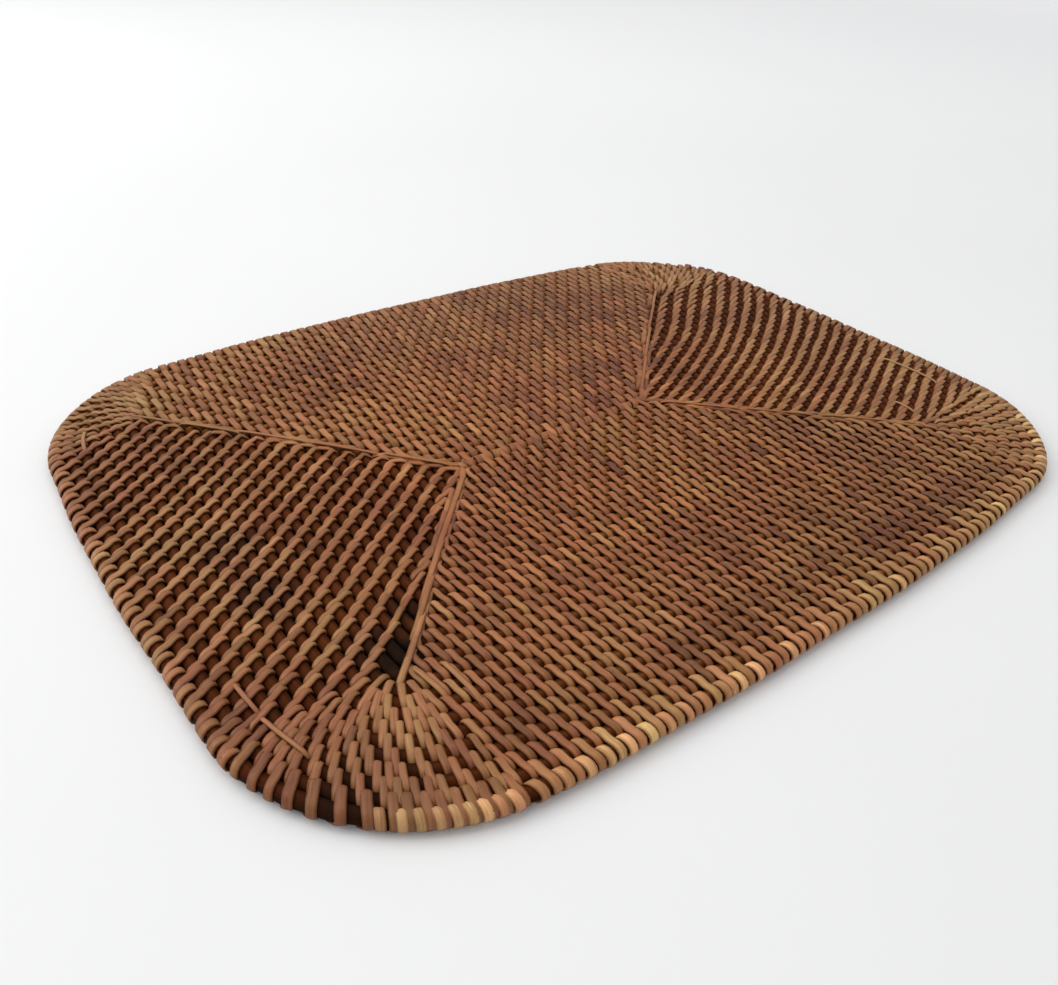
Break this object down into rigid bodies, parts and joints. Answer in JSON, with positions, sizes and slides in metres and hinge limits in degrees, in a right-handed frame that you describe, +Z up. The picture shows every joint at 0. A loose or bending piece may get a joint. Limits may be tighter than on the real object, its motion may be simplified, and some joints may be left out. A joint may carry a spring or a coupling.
{
  "type": "rattan placemat",
  "caption": "Flat rounded-rectangle placemat of coiled cane bound with split rattan strands, lying on its underside.",
  "frame": {"origin": "middle of the underside, on the surface that the mat lies on", "axes": "+X along the long side, +Y along the short side, +Z up through the thickness"},
  "size_m": [0.406, 0.3, 0.0068],
  "materials": {
    "binding_strand": "satin split rattan, stained mid brown, with pale worn crowns",
    "core_cane": "dark brown stained round cane, satin"
  },
  "bodies": {
    "root": {"mat": "binding_strand"}
  },
  "joints": []
}
